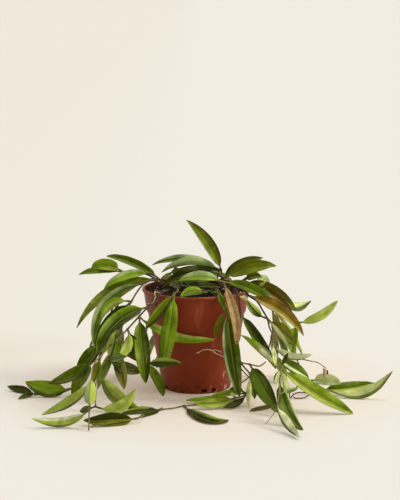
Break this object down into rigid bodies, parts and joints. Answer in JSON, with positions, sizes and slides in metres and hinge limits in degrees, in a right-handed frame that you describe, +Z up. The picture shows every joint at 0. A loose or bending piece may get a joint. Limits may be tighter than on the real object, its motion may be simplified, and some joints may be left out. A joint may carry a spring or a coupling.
{
  "type": "potted hoya plant",
  "caption": "Trailing hoya with narrow leathery leaves in a round tapered nursery pot; stems arch over the rim, hang and run along the surface.",
  "frame": {"origin": "centre of the pot's flat foot, on the surface it stands on", "axes": "+Z up along the pot's axis; -Y is the front seen in the picture; +X to the viewer's right"},
  "size_m": [0.425, 0.329, 0.1923],
  "materials": {
    "pot": "terracotta brown moulded plastic, satin, lightly scuffed",
    "soil": null,
    "leaf": null
  },
  "bodies": {
    "root": {"nursery_pot": "pot", "potting_mix": "soil", "left_inner_vine": "leaf", "left_front_vine": "leaf", "left_crown_stem": "leaf", "left_floor_vine": "leaf", "rim_pair_stem": "leaf", "pot_front_stem": "leaf", "middle_back_stem": "leaf", "middle_stem": "leaf", "middle_front_stem": "leaf", "rim_front_stem": "leaf", "right_inner_vine": "leaf", "right_centre_vine": "leaf", "front_right_vine": "leaf", "floor_runner": "leaf", "right_outer_vine": "leaf", "back_left_vine": "leaf", "back_right_vine": "leaf", "left_side_vine": "leaf", "right_side_vine": "leaf"}
  },
  "joints": []
}
